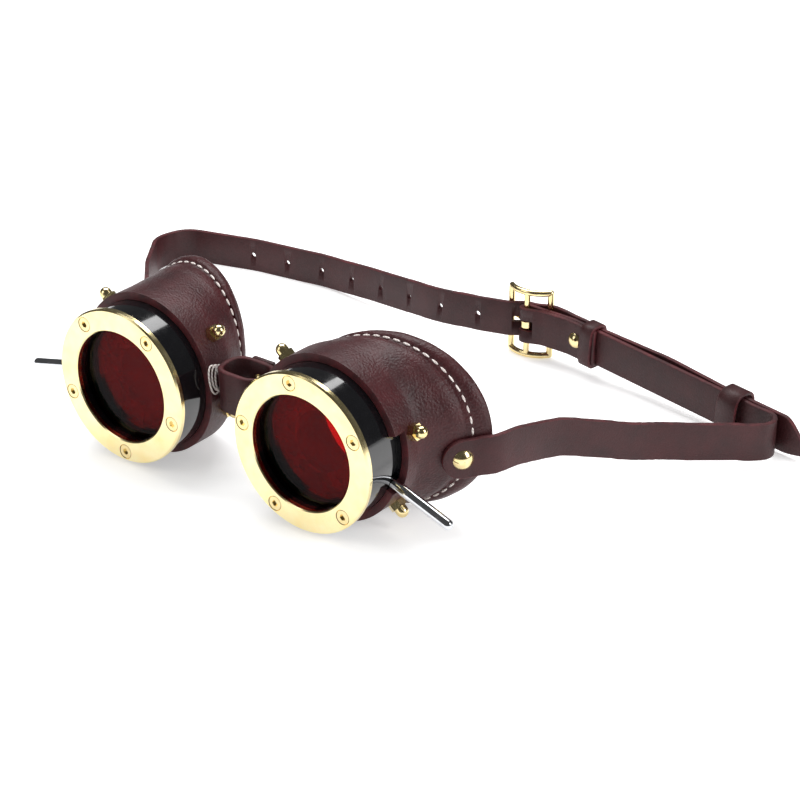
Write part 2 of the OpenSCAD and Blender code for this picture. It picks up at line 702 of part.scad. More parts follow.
module left_strap() {
  color(leather) placed() difference() {
    ribbon(concat(
      round_end(left_route[0], [-strap_start(-1)[0], strap_start(-1)[1]]),
      full_width(left_line),
      pointed_end(left_route[len(left_route) - 1], run_dir)
    ), strap_t);
    at_strap_rivet(-1) translate([0, 0, -5]) cylinder(d = rivet_shank_d, h = 10);
    for (i = [1 : open_holes]) on_left_strap(prong_hole_s - i * hole_pitch)
      translate([0, 0, -3]) cylinder(d = hole_d, h = 6, $fn = 32);
    on_left_strap(prong_hole_s) translate([0, 0, -3]) linear_extrude(6) {
      for (x = [-2.3, 2.3]) translate([x, 0]) circle(d = hole_d, $fn = 32);
      square([4.6, hole_d], center = true);
    }
  }
}

module strap_rivet(side) {
  inner = strap_lift + leather_t + 0.6;
  color(gold) placed() at_strap_rivet(side) {
    translate([0, 0, -inner - 0.3]) cylinder(d = rivet_shank_d, h = inner + 0.3 + strap_t / 2 + 0.2);
    translate([0, 0, strap_t / 2 + 0.06]) dome(rivet_head_d / 2, 1.9);
    translate([0, 0, -inner - 0.7]) cylinder(d = rivet_head_d * 0.7, h = 0.7);
  }
}

// A rivet's round head: a slice of a ball
module dome(r, h) {
  ball_r = (r * r + h * h) / (2 * h);
  intersection() {
    translate([0, 0, h - ball_r]) sphere(r = ball_r);
    cylinder(r = r, h = h);
  }
}

module buckle_rivet() {
  color(gold) placed() at_run(buckle_rivet_s) rotate([90, 0, 0]) {
    translate([0, 0, -strap_t / 2 - 0.1]) cylinder(d = rivet_shank_d, h = 2 * strap_t + 0.5);
    translate([0, 0, strap_t * 1.5 + 0.25]) dome(buckle_rivet_head_d / 2, 1.7);
    translate([0, 0, -strap_t / 2 - 0.7]) cylinder(d = buckle_rivet_head_d * 0.8, h = 0.6);
  }
}

module buckle_frame() {
  wire_r = wire_d / 2;
  arc_r = (half_buckle * half_buckle + buckle_bow * buckle_bow) / (2 * buckle_bow);
  half_arc = asin(half_buckle / arc_r);
  bar_half = buckle_h / 2 - wire_r;
  color(gold) placed() at_buckle() {
    cylinder(d = bar_d, h = 2 * bar_half, center = true, $fn = 48);
    for (s = [-1, 1]) {
      translate([s * half_buckle, buckle_bow, 0]) cylinder(r = wire_r, h = 2 * bar_half, center = true, $fn = 48);
      translate([s * half_buckle, buckle_bow, bar_half]) sphere(r = wire_r, $fn = 48);
      translate([s * half_buckle, buckle_bow, -bar_half]) sphere(r = wire_r, $fn = 48);
      translate([0, arc_r, s * bar_half]) rotate([0, 0, 270 - half_arc])
        rotate_extrude(angle = 2 * half_arc, $fn = 96) translate([arc_r, 0]) circle(r = wire_r, $fn = 48);
    }
  }
}

module buckle_prong() {
  eye_r = bar_d / 2 + running + 1.1;
  root = [-0.8, 1.8];
  rest = [-half_buckle, buckle_bow] + (wire_d / 2 + prong_d / 2 + 0.06) * [0.46, 0.888];
  way = rest - root;
  color(gold) placed() at_buckle() difference() {
    union() {
      cylinder(r = eye_r, h = 2.6, center = true, $fn = 48);
      translate([root[0], root[1], 0]) rotate([0, 0, atan2(way[1], way[0])]) rotate([0, 90, 0]) {
        cylinder(d = prong_d, h = norm(way) + 1.4, $fn = 32);
        translate([0, 0, norm(way) + 1.4]) sphere(d = prong_d, $fn = 32);
      }
    }
    cylinder(d = bar_d + 2 * running, h = 10, center = true, $fn = 48);
  }
}

// A leather loop round a stack of layers that lies between two offsets from the run
module keeper(s, l, low, high, air, edge_air) {
  inner_y = (high - low) / 2 + air;
  inner_z = strap_w / 2 + edge_air;
  color(leather) placed() at_run(s) translate([-l / 2, (high + low) / 2, 0])
    rotate([90, 0, 90]) linear_extrude(l) difference() {
      round_rect(inner_y + keeper_t, inner_z + keeper_t, 2.4);
      round_rect(inner_y, inner_z, 1);
    }
}

module round_rect(x, y, r) {
  square([2 * x, 2 * (y - r)], center = true);
  square([2 * (x - r), 2 * y], center = true);
  for (sx = [-1, 1], sy = [-1, 1]) translate([sx * (x - r), sy * (y - r)]) circle(r = r, $fn = 32);
}

fixed_keeper_s = buckle_rivet_s + buckle_rivet_head_d / 2 + 0.4 + fixed_keeper_l / 2;
sliding_keeper_s = tail_s - keeper_to_tail;
module fixed_keeper() keeper(fixed_keeper_s, fixed_keeper_l,
  -2 * layer - strap_t / 2, tail_off + strap_t / 2 + 0.6, 0.25, 0.35);
module sliding_keeper() keeper(sliding_keeper_s, sliding_keeper_l,
  -strap_t / 2, tail_off + strap_t / 2, 1.2, 0.7);

// The bridge is a leather loop on edge between the two collars
bridge_r = bridge_depth / 2;
bridge_y = 22;
bridge_z = lens_z + bridge_h / 2 - 4;
bridge_half_gap = lens_x - collar_r - passing;

module bridge_outline(r) {
  x = bridge_half_gap - bridge_r;
  for (s = [-1, 1]) translate([s * x, 0]) circle(r = r, $fn = 96);
  square([2 * x, 2 * r], center = true);
}

module nose_bridge() {
  color(leather_edge) placed() difference() {
    translate([0, bridge_y, bridge_z - bridge_h / 2]) {
      linear_extrude(bridge_h) difference() {
        bridge_outline(bridge_r);
        bridge_outline(bridge_r - bridge_t);
      }
      translate([-5, bridge_r - eps, 0]) cube([10, bridge_t, bridge_h]);
    }
    translate([0, bridge_y, bridge_z]) rotate([-90, 0, 0]) cylinder(d = rivet_shank_d, h = 30);
  }
}

module bridge_rivet() {
  color(gold) placed() translate([0, bridge_y + bridge_r, bridge_z]) rotate([90, 0, 0]) {
    translate([0, 0, -bridge_t]) cylinder(d = rivet_shank_d, h = 2 * bridge_t + 0.2);
    translate([0, 0, bridge_t + 0.1]) dome(2.8, 1.5);
    translate([0, 0, -bridge_t - 0.7]) cylinder(r = 3, h = 0.7);
  }
}

// The goggles reach from the bezels' faces to the back of the strap at the buckle
back_y = max([for (p = left_line) p[1]]) + strap_t / 2;
middle_y = back_y / 2;

cup(1);  // right_cup
rim_binding(1);  // right_rim_binding
housing(1);  // right_housing
bezel(1);  // right_bezel
screw_group(1);  // right_bezel_screws
lens(1);  // right_lens
lens_ring(1);  // right_lens_ring
pivot_plate(1);  // right_pivot_plate
iris_ring(1);  // right_iris_ring
lever(1);  // right_lever
back_ring(1);  // right_back_ring
cup_screw_group(1);  // right_cup_screws
nut_group(1);  // right_acorn_nuts
strap_rivet(1);  // right_strap_rivet
blade(1, 0);  // right_blade_1
blade(1, 1);  // right_blade_2
blade(1, 2);  // right_blade_3
blade(1, 3);  // right_blade_4
blade(1, 4);  // right_blade_5
blade(1, 5);  // right_blade_6
blade(1, 6);  // right_blade_7
blade(1, 7);  // right_blade_8
cup(-1);  // left_cup
rim_binding(-1);  // left_rim_binding
housing(-1);  // left_housing
bezel(-1);  // left_bezel
screw_group(-1);  // left_bezel_screws
lens(-1);  // left_lens
lens_ring(-1);  // left_lens_ring
pivot_plate(-1);  // left_pivot_plate
iris_ring(-1);  // left_iris_ring
lever(-1);  // left_lever
back_ring(-1);  // left_back_ring
cup_screw_group(-1);  // left_cup_screws
nut_group(-1);  // left_acorn_nuts
strap_rivet(-1);  // left_strap_rivet
blade(-1, 0);  // left_blade_1
blade(-1, 1);  // left_blade_2
blade(-1, 2);  // left_blade_3
blade(-1, 3);  // left_blade_4
blade(-1, 4);  // left_blade_5
blade(-1, 5);  // left_blade_6
blade(-1, 6);  // left_blade_7
blade(-1, 7);  // left_blade_8
nose_bridge();
bridge_rivet();
right_strap();
left_strap();
buckle_frame();
buckle_prong();
buckle_rivet();
fixed_keeper();
sliding_keeper();
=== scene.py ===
import math
import bmesh
import bpy
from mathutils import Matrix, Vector


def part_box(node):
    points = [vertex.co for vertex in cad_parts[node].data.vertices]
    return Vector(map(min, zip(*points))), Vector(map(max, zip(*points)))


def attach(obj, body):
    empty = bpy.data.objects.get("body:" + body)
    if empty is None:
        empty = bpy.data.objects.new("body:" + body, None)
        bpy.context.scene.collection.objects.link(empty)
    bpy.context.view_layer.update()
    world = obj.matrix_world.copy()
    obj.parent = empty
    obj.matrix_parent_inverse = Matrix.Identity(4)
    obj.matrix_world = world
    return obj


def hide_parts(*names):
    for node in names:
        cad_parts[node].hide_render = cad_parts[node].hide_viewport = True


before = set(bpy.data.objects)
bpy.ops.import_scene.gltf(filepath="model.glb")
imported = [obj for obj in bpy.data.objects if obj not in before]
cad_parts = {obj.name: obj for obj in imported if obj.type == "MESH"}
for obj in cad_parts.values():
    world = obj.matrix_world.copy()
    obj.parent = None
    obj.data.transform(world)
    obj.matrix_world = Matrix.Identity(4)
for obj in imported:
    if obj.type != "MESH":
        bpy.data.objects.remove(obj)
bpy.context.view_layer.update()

mm = 0.001

bezelLow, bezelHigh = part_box("right_bezel")
lens = {
    "x": (bezelLow[0] + bezelHigh[0]) / 2 / mm,
    "z": (bezelLow[2] + bezelHigh[2]) / 2 / mm,
    "front": bezelLow[1] / mm,  # the bezels' faces; all depths are counted back from here
}


# ---- small tools

def hexColour(text):  # an sRGB colour as linear light
    channels = [int(text[i:i + 2], 16) / 255 for i in (1, 3, 5)]
    return [c / 12.92 if c <= 0.04045 else ((c + 0.055) / 1.055) ** 2.4 for c in channels] + [1]


def addNode(tree, kind, inputs=None, **settings):
    node = tree.nodes.new(kind)
    for name, value in settings.items():
        setattr(node, name, value)
    for name, value in (inputs or {}).items():
        if isinstance(value, bpy.types.NodeSocket):
            tree.links.new(value, node.inputs[name])
        else:
            node.inputs[name].default_value = value
    return node


def newMaterial(name):
    material = bpy.data.materials.new(name)
    material.use_nodes = True
    tree = material.node_tree
    tree.nodes.clear()
    return material, tree


def finishMaterial(tree, shader):
    addNode(tree, "ShaderNodeOutputMaterial", {"Surface": shader})


def meshPiece(name, points, faces, materials, faceMaterials=None, smooth=True):
    mesh = bpy.data.meshes.new(name)
    mesh.from_pydata([Vector(p) * mm for p in points], [], faces)
    piece = bpy.data.objects.new(name, mesh)
    bpy.context.collection.objects.link(piece)
    for material in materials:
        mesh.materials.append(material)
    if faceMaterials:
        mesh.polygons.foreach_set("material_index", faceMaterials)
    mesh.polygons.foreach_set("use_smooth", [smooth] * len(mesh.polygons))
    mesh.update()
    return piece


def applyModifiers(piece):
    evaluated = piece.evaluated_get(bpy.context.evaluated_depsgraph_get())
    mesh = bpy.data.meshes.new_from_object(evaluated)
    piece.modifiers.clear()
    old = piece.data
    piece.data = mesh
    bpy.data.meshes.remove(old)
    return piece


def outward(piece):
    shape = bmesh.new()
    shape.from_mesh(piece.data)
    bmesh.ops.remove_doubles(shape, verts=shape.verts, dist=1e-7)
    bmesh.ops.recalc_face_normals(shape, faces=shape.faces)
    shape.to_mesh(piece.data)
    shape.free()
    return piece


def mix(a, b, t):
    return a + (b - a) * t


def unit(v):
    return Vector(v).normalized()


# ---- materials

print("materials")

leatherLook = {
    "cup": {"dark": "#2c080c", "light": "#4e161b", "grain": 0.8, "bump": 0.75, "roughness": 0.44},
    "strap": {"dark": "#2a080b", "light": "#451418", "grain": 0.55, "bump": 0.35, "roughness": 0.5},
}


def leatherMaterial(name, look):
    # Chrome-tanned cowhide with a pressed pebble grain and a waxed top: dark in the pits, a soft
    # greyish pink sheen where it faces the light
    material, tree = newMaterial(name)
    place = addNode(tree, "ShaderNodeTexCoord").outputs["Object"]
    pebbles = addNode(tree, "ShaderNodeTexVoronoi", {"Vector": place, "Scale": 1 / (look["grain"] * mm),
                      "Randomness": 1.0}, feature="SMOOTH_F1")
    pores = addNode(tree, "ShaderNodeTexNoise", {"Vector": place, "Scale": 1 / (0.35 * mm), "Detail": 4.0})
    patches = addNode(tree, "ShaderNodeTexNoise", {"Vector": place, "Scale": 1 / (14 * mm), "Detail": 5.0,
                      "Roughness": 0.62})
    shade = addNode(tree, "ShaderNodeMapRange", {"Value": patches.outputs["Fac"], "From Min": 0.2,
                    "From Max": 0.8})
    hollow = addNode(tree, "ShaderNodeMath", {0: pebbles.outputs["Distance"], 1: 0.28}, operation="MULTIPLY")
    tone = addNode(tree, "ShaderNodeMath", {0: shade.outputs["Result"], 1: hollow.outputs["Value"]},
                   operation="SUBTRACT", use_clamp=True)
    colour = addNode(tree, "ShaderNodeMix", {0: tone.outputs["Value"], 6: hexColour(look["dark"]),
                     7: hexColour(look["light"])}, data_type="RGBA")
    rough = addNode(tree, "ShaderNodeMapRange", {"Value": pores.outputs["Fac"], "From Min": 0.3,
                    "From Max": 0.7, "To Min": look["roughness"] - 0.07, "To Max": look["roughness"] + 0.1})
    height = addNode(tree, "ShaderNodeMath", {0: pores.outputs["Fac"], 1: 0.35,
                     2: pebbles.outputs["Distance"]}, operation="MULTIPLY_ADD")
    bump = addNode(tree, "ShaderNodeBump", {"Height": height.outputs["Value"], "Strength": look["bump"],
                   "Distance": 0.25 * mm}, invert=True)
    shader = addNode(tree, "ShaderNodeBsdfPrincipled", {"Base Color": colour.outputs[2],
                     "Roughness": rough.outputs["Result"], "Normal": bump.outputs["Normal"],
                     "IOR": 1.45, "Sheen Weight": 0.03, "Sheen Roughness": 0.4,
                     "Sheen Tint": hexColour("#b98f95")})
    finishMaterial(tree, shader.outputs["BSDF"])
    return material


def cutLeatherMaterial():
    # The cut edge of dyed leather: redder than the face, matt, with fibres along the edge
    material, tree = newMaterial("cutLeather")
    place = addNode(tree, "ShaderNodeTexCoord").outputs["Object"]
    fibres = addNode(tree, "ShaderNodeTexNoise", {"Vector": place, "Scale": 1 / (0.5 * mm), "Detail": 6.0,
                     "Roughness": 0.7})
    patches = addNode(tree, "ShaderNodeTexNoise", {"Vector": place, "Scale": 1 / (6 * mm), "Detail": 3.0})
    both = addNode(tree, "ShaderNodeMath", {0: fibres.outputs["Fac"], 1: patches.outputs["Fac"]},
                   operation="MULTIPLY")
    tone = addNode(tree, "ShaderNodeMapRange", {"Value": both.outputs["Value"], "From Min": 0.14,
                   "From Max": 0.4})
    colour = addNode(tree, "ShaderNodeMix", {0: tone.outputs["Result"], 6: hexColour("#300b10"),
                     7: hexColour("#611d23")}, data_type="RGBA")
    bump = addNode(tree, "ShaderNodeBump", {"Height": fibres.outputs["Fac"], "Strength": 0.4,
                   "Distance": 0.2 * mm})
    shader = addNode(tree, "ShaderNodeBsdfPrincipled", {"Base Color": colour.outputs[2], "Roughness": 0.62,
                     "Normal": bump.outputs["Normal"], "IOR": 1.5})
    finishMaterial(tree, shader.outputs["BSDF"])
    return material


def threadMaterial():
    # Waxed white polyester thread of 0.8 mm, two strands twisted
    material, tree = newMaterial("waxedThread")
    place = addNode(tree, "ShaderNodeTexCoord").outputs["Object"]
    twist = addNode(tree, "ShaderNodeTexWave", {"Vector": place, "Scale": 1 / (2.2 * mm), "Distortion": 1.5},
                    bands_direction="DIAGONAL")
    colour = addNode(tree, "ShaderNodeMix", {0: twist.outputs["Fac"], 6: hexColour("#cfc0bb"),
                     7: hexColour("#fbf4ef")}, data_type="RGBA")
    bump = addNode(tree, "ShaderNodeBump", {"Height": twist.outputs["Fac"], "Strength": 0.5,
                   "Distance": 0.12 * mm})
    shader = addNode(tree, "ShaderNodeBsdfPrincipled", {"Base Color": colour.outputs[2], "Roughness": 0.55,
                     "Normal": bump.outputs["Normal"], "Sheen Weight": 0.2})
    finishMaterial(tree, shader.outputs["BSDF"])
    return material


metalLook = {
    "plateGold": {"light": "#fbeec4", "dark": "#efd993", "low": 0.14, "high": 0.26, "wear": 5},
    "castGold": {"light": "#f7e7b6", "dark": "#dfc485", "low": 0.1, "high": 0.24, "wear": 2},
    "polishedSteel": {"light": "#e6e7ea", "dark": "#c4c6cb", "low": 0.05, "high": 0.16, "wear": 4},
    "blueSteel": {"light": "#b98c90", "dark": "#4a262c", "low": 0.2, "high": 0.34, "wear": 6,
                  "brushed": 0.8},
}


def metalMaterial(name, look):
    # Polished plate: almost a mirror, with faint cloudy wear and hairline scratches that spread the light
    material, tree = newMaterial(name)
    place = addNode(tree, "ShaderNodeTexCoord").outputs["Object"]
    clouds = addNode(tree, "ShaderNodeTexNoise", {"Vector": place, "Scale": 1 / (look["wear"] * mm),
                     "Detail": 5.0})
    stretched = addNode(tree, "ShaderNodeMapping", {"Vector": place, "Scale": (1, 1, 0.06),
                        "Rotation": (0.5, 0.3, 0.2)})
    hairs = addNode(tree, "ShaderNodeTexNoise", {"Vector": stretched.outputs["Vector"],
                    "Scale": 1 / (0.12 * mm), "Detail": 2.0})
    colour = addNode(tree, "ShaderNodeMix", {0: clouds.outputs["Fac"], 6: hexColour(look["dark"]),
                     7: hexColour(look["light"])}, data_type="RGBA")
    rough = addNode(tree, "ShaderNodeMapRange", {"Value": clouds.outputs["Fac"], "From Min": 0.3,
                    "From Max": 0.7, "To Min": look["low"], "To Max": look["high"]})
    bump = addNode(tree, "ShaderNodeBump", {"Height": hairs.outputs["Fac"], "Strength": 0.04,
                   "Distance": 0.05 * mm})
    shader = addNode(tree, "ShaderNodeBsdfPrincipled", {"Base Color": colour.outputs[2], "Metallic": 1.0,
                     "Roughness": rough.outputs["Result"], "Normal": bump.outputs["Normal"]})
    if "brushed" in look:
        turning = addNode(tree, "ShaderNodeTangent", direction_type="RADIAL", axis="Y")
        shader.inputs["Anisotropic"].default_value = look["brushed"]
        tree.links.new(turning.outputs["Tangent"], shader.inputs["Tangent"])
    finishMaterial(tree, shader.outputs["BSDF"])
    return material


def lacquerMaterial(name, roughness, coat):
    # Stoved black lacquer over metal: deep black, mirror-like on the housings and satin inside
    material, tree = newMaterial(name)
    place = addNode(tree, "ShaderNodeTexCoord").outputs["Object"]
    ripple = addNode(tree, "ShaderNodeTexNoise", {"Vector": place, "Scale": 1 / (3 * mm), "Detail": 3.0})
    colour = addNode(tree, "ShaderNodeMix", {0: ripple.outputs["Fac"], 6: hexColour("#060608"),
                     7: hexColour("#111114")}, data_type="RGBA")
    rough = addNode(tree, "ShaderNodeMapRange", {"Value": ripple.outputs["Fac"], "From Min": 0.3,
                    "From Max": 0.7, "To Min": roughness * 0.7, "To Max": roughness * 1.3})
    bump = addNode(tree, "ShaderNodeBump", {"Height": ripple.outputs["Fac"], "Strength": 0.03,
                   "Distance": 0.1 * mm})
    shader = addNode(tree, "ShaderNodeBsdfPrincipled", {"Base Color": colour.outputs[2],
                     "Roughness": rough.outputs["Result"], "Normal": bump.outputs["Normal"], "IOR": 1.5,
                     "Coat Weight": coat, "Coat Roughness": 0.03})
    finishMaterial(tree, shader.outputs["BSDF"])
    return material


def redGlassMaterial():
    # Ruby-tinted optical glass: clear enough to see the blades, dark where it is seen at a slant
    material, tree = newMaterial("rubyGlass")
    place = addNode(tree, "ShaderNodeTexCoord").outputs["Object"]
    haze = addNode(tree, "ShaderNodeTexNoise", {"Vector": place, "Scale": 1 / (9 * mm), "Detail": 2.0})
    tint = addNode(tree, "ShaderNodeMix", {0: haze.outputs["Fac"], 6: hexColour("#a81c24"),
                   7: hexColour("#d42e36")}, data_type="RGBA")
    clear = addNode(tree, "ShaderNodeBsdfTransparent", {"Color": tint.outputs[2]})
    gloss = addNode(tree, "ShaderNodeBsdfGlossy", {"Color": (1, 1, 1, 1), "Roughness": 0.03})
    edge = addNode(tree, "ShaderNodeFresnel", {"IOR": 1.45})
    coated = addNode(tree, "ShaderNodeMath", {0: edge.outputs["Fac"], 1: 0.15}, operation="MULTIPLY")
    shader = addNode(tree, "ShaderNodeMixShader", {0: coated.outputs["Value"], 1: clear.outputs["BSDF"],
                     2: gloss.outputs["BSDF"]})
    finishMaterial(tree, shader.outputs["Shader"])
    return material


cupLeather = leatherMaterial("pebbledCowhide", leatherLook["cup"])
strapLeather = leatherMaterial("smoothCowhide", leatherLook["strap"])
cutLeather = cutLeatherMaterial()
waxedThread = threadMaterial()
plateGold = metalMaterial("plateGold", metalLook["plateGold"])
castGold = metalMaterial("castGold", metalLook["castGold"])
polishedSteel = metalMaterial("polishedSteel", metalLook["polishedSteel"])
blueSteel = metalMaterial("redGlossedSteel", metalLook["blueSteel"])
glossLacquer = lacquerMaterial("glossBlackLacquer", 0.12, 0.6)
satinLacquer = lacquerMaterial("satinBlackLacquer", 0.4, 0.0)
rubyGlass = redGlassMaterial()

nodeFinish = {
    "bezel": plateGold, "bezel_screws": castGold, "cup_screws": castGold, "acorn_nuts": castGold,
    "strap_rivet": castGold, "housing": glossLacquer, "lens": rubyGlass, "lens_ring": satinLacquer,
    "pivot_plate": satinLacquer, "iris_ring": satinLacquer, "back_ring": satinLacquer, "lever": polishedSteel,
}
for name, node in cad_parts.items():
    part = name.replace("right_", "").replace("left_", "")
    finish = nodeFinish.get(part)
    if part.startswith("blade"):
        finish = blueSteel
    if name in ("bridge_rivet", "buckle_frame", "buckle_prong", "buckle_rivet"):
        finish = castGold
    if finish:
        for slot in node.material_slots:
            slot.material = finish


# ---- leather cups

print("leather cups")

cup = {
    "collarRadius": 31.5, "collarEnd": 27.2, "front": 15.0, "leather": 2.9,
    "rimBack": {1: 42.3, -1: 47.0}, "rimShift": {1: 11.0, -1: 3.7}, "rimTilt": {1: 2.2, -1: 5.0},
    "rimWidth": {1: 70.5, -1: 54.0}, "rimHeight": 61.6, "rimLift": 0.9, "rimSlant": 5.0,
    "slotFrom": {1: -24.1, -1: -19.6}, "slotTo": {1: 18.1, -1: 22.6}, "slotBack": 20.2,
    "seamFromRim": 5.0, "seamDepth": 0.4, "puff": 0.3, "swell": 0.25,
    "columns": 360, "edgeRounding": 0.45,
}


def flareAt(u):
    return 0.5 * (u + math.sqrt(u * u + 0.008)) if u > -0.6 else 0.0


def rimDepth(side, a):
    return cup["rimBack"][side] + cup["rimSlant"] * math.cos(a) + cup["rimTilt"][side] * math.sin(a)


def cupPoint(side, u, degrees, off=0.0):
    a = math.radians(degrees)
    flare = flareAt(u)
    radiusX = mix(cup["collarRadius"], cup["rimWidth"][side] / 2, flare) + off
    radiusZ = mix(cup["collarRadius"], cup["rimHeight"] / 2, flare) + off
    run = rimDepth(side, a) - cup["collarEnd"] if u > 0 else cup["collarEnd"] - cup["front"]
    return Vector((side * (lens["x"] + cup["rimShift"][side] * flare + radiusX * math.cos(a)),
                   lens["front"] + cup["collarEnd"] + u * run,
                   lens["z"] + cup["rimLift"] * flare + radiusZ * math.sin(a)))


def rimPoint(side, fromRim, degrees, off):
    a = math.radians(degrees)
    return cupPoint(side, 1 - fromRim / (rimDepth(side, a) - cup["collarEnd"]), degrees, off)


def cupRows(side):
    run = cup["rimBack"][side] - cup["collarEnd"]
    seam = 1 - cup["seamFromRim"] / run
    slot = (cup["slotBack"] - cup["collarEnd"]) / (cup["collarEnd"] - cup["front"])
    rows = [mix(-1, slot, i / 8) for i in range(8)] + [mix(slot, 0, i / 10) for i in range(10)]
    rows += [mix(0, seam - 0.1, i / 16) for i in range(16)]
    rows += [mix(seam - 0.1, seam + 0.1, i / 10) for i in range(10)]
    return rows + [mix(seam + 0.1, 1, i / 5) for i in range(6)], seam, slot


def leatherCup(side, name):
    rows, seam, slot = cupRows(side)
    columns = cup["columns"]
    points, faces = [], []
    for u in rows:
        dent = cup["seamDepth"] * math.exp(-((u - seam) / 0.035) ** 2)
        for i in range(columns):
            a = i + 0.5
            swell = cup["swell"] * math.sin(math.radians(3 * a + 40 * side)) * max(u, 0)
            puff = cup["puff"] * math.exp(-((u - seam + 0.16) / 0.09) ** 2)
            points.append(cupPoint(side, u, a, swell + puff - dent))
    for j in range(len(rows) - 1):
        for i in range(columns):
            middle = (i + 1 + 180) % 360 - 180
            if rows[j] < slot - 1e-6 and cup["slotFrom"][side] < middle < cup["slotTo"][side]:
                continue
            k = (i + 1) % columns
            quad = [j * columns + i, j * columns + k, (j + 1) * columns + k, (j + 1) * columns + i]
            faces.append(quad if side < 0 else quad[::-1])
    piece = meshPiece(name, points, faces, [cupLeather, cutLeather])
    used = bmesh.new()
    used.from_mesh(piece.data)
    bmesh.ops.delete(used, geom=[v for v in used.verts if not v.link_faces], context="VERTS")
    used.to_mesh(piece.data)
    used.free()
    wall = piece.modifiers.new("wall", "SOLIDIFY")
    wall.thickness = cup["leather"] * mm
    wall.offset = -1
    wall.material_offset_rim = 1
    soften = piece.modifiers.new("soften", "BEVEL")
    soften.width = cup["edgeRounding"] * mm
    soften.segments = 3
    soften.limit_method = "ANGLE"
    soften.angle_limit = math.radians(50)
    return applyModifiers(piece)


rimRoll = {
    # [distance in front of the rim's edge, distance out from the cup's outer face]
    "section": [(4.7, -0.6), (4.55, 0.2), (4.1, 0.8), (3.2, 1.2), (2.1, 1.3), (0.8, 1.15), (-0.3, 0.7),
                (-1.05, -0.2), (-1.25, -1.45), (-1.05, -2.7), (-0.2, -3.6), (1.2, -4.0), (2.6, -4.1),
                (3.8, -3.95), (4.5, -3.5), (4.7, -2.6)],
    "around": 180,
}


def ringFromSection(name, pointAt, section, around, materials, flip):
    points = [pointAt(i * 360 / around, *s) for i in range(around) for s in section]
    count = len(section)
    faces = []
    for i in range(around):
        for j in range(count):
            k, m = (i + 1) % around, (j + 1) % count
            quad = [i * count + j, i * count + m, k * count + m, k * count + j]
            faces.append(quad[::-1] if flip else quad)
    piece = meshPiece(name, points, faces, materials)
    return outward(piece)


def rimBinding(side, name):
    def pointAt(a, fromRim, off):
        crease = 0.1 * math.sin(math.radians(a * 17)) * math.sin(math.radians(a * 5))
        return rimPoint(side, fromRim, a, off + (crease if off > 0 else 0))
    piece = ringFromSection(name, pointAt, rimRoll["section"], rimRoll["around"], [cupLeather], side > 0)
    smooth = piece.modifiers.new("smooth", "SUBSURF")
    smooth.levels = smooth.render_levels = 1
    return applyModifiers(piece)


# ---- stitches, set along a seam by geometry nodes

stitch = {"pitch": 4.0, "length": 2.9, "thickness": 0.85, "above": 0.12}


def stitchTree():
    tree = bpy.data.node_groups.new("stitchesAlongSeam", "GeometryNodeTree")
    face = tree.interface
    face.new_socket("Geometry", in_out="INPUT", socket_type="NodeSocketGeometry")
    for name, kind in (("Count", "NodeSocketInt"), ("Length", "NodeSocketFloat"),
                       ("Thickness", "NodeSocketFloat"), ("Thread", "NodeSocketMaterial")):
        face.new_socket(name, in_out="INPUT", socket_type=kind)
    face.new_socket("Geometry", in_out="OUTPUT", socket_type="NodeSocketGeometry")
    given = addNode(tree, "NodeGroupInput").outputs
    seam = addNode(tree, "GeometryNodeMeshToCurve", {"Mesh": given["Geometry"]})
    spots = addNode(tree, "GeometryNodeCurveToPoints", {"Curve": seam.outputs["Curve"],
                    "Count": given["Count"]}, mode="COUNT")
    bead = addNode(tree, "GeometryNodeMeshUVSphere", {"Segments": 12, "Rings": 8, "Radius": 0.5})
    size = addNode(tree, "ShaderNodeCombineXYZ", {"X": given["Thickness"], "Y": given["Thickness"],
                   "Z": given["Length"]})
    shape = addNode(tree, "GeometryNodeTransform", {"Geometry": bead.outputs["Mesh"],
                    "Scale": size.outputs["Vector"]})
    placed = addNode(tree, "GeometryNodeInstanceOnPoints", {"Points": spots.outputs["Points"],
                     "Instance": shape.outputs["Geometry"], "Rotation": spots.outputs["Rotation"]})
    real = addNode(tree, "GeometryNodeRealizeInstances", {"Geometry": placed.outputs["Instances"]})
    smooth = addNode(tree, "GeometryNodeSetShadeSmooth", {"Geometry": real.outputs["Geometry"]})
    dressed = addNode(tree, "GeometryNodeSetMaterial", {"Geometry": smooth.outputs["Geometry"],
                      "Material": given["Thread"]})
    addNode(tree, "NodeGroupOutput", {"Geometry": dressed.outputs["Geometry"]})
    return tree


def threadTree():
    tree = bpy.data.node_groups.new("threadAlongPath", "GeometryNodeTree")
    face = tree.interface
    face.new_socket("Geometry", in_out="INPUT", socket_type="NodeSocketGeometry")
    for name, kind in (("Radius", "NodeSocketFloat"), ("Thread", "NodeSocketMaterial")):
        face.new_socket(name, in_out="INPUT", socket_type=kind)
    face.new_socket("Geometry", in_out="OUTPUT", socket_type="NodeSocketGeometry")
    given = addNode(tree, "NodeGroupInput").outputs
    path = addNode(tree, "GeometryNodeMeshToCurve", {"Mesh": given["Geometry"]})
    ring = addNode(tree, "GeometryNodeCurvePrimitiveCircle", {"Resolution": 10, "Radius": given["Radius"]})
    tube = addNode(tree, "GeometryNodeCurveToMesh", {"Curve": path.outputs["Curve"],
                   "Profile Curve": ring.outputs["Curve"], "Fill Caps": True})
    smooth = addNode(tree, "GeometryNodeSetShadeSmooth", {"Geometry": tube.outputs["Mesh"]})
    dressed = addNode(tree, "GeometryNodeSetMaterial", {"Geometry": smooth.outputs["Geometry"],
                      "Material": given["Thread"]})
    addNode(tree, "NodeGroupOutput", {"Geometry": dressed.outputs["Geometry"]})
    return tree


